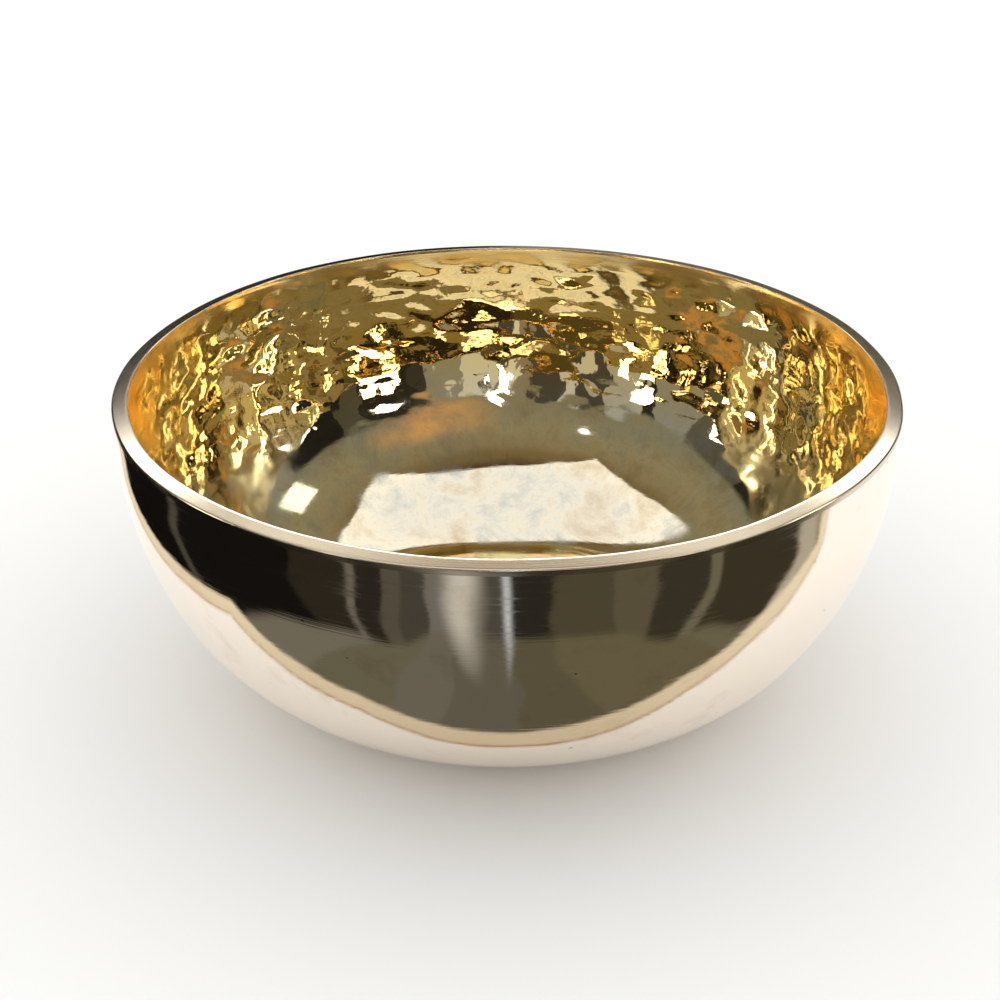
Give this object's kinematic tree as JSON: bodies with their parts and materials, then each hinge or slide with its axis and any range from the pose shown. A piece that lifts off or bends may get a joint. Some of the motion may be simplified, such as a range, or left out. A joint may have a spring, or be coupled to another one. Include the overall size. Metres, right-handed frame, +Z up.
{
  "type": "hammered metal bowl",
  "caption": "Round, deep bowl of hand-hammered bell metal with a plain ground rim and a small flat to stand on; it holds things, or rings when struck.",
  "frame": {"origin": "centre of the flat face under the bowl, on the surface that it stands on", "axes": "+Z up along the bowl's axis, out of its open mouth; the bowl is round, so +X and +Y are free"},
  "size_m": [0.2, 0.2, 0.082],
  "materials": {
    "bell_bronze": "polished, hammered inside, brushed on the rim"
  },
  "bodies": {
    "root": {"bowl": "bell_bronze"}
  },
  "joints": []
}
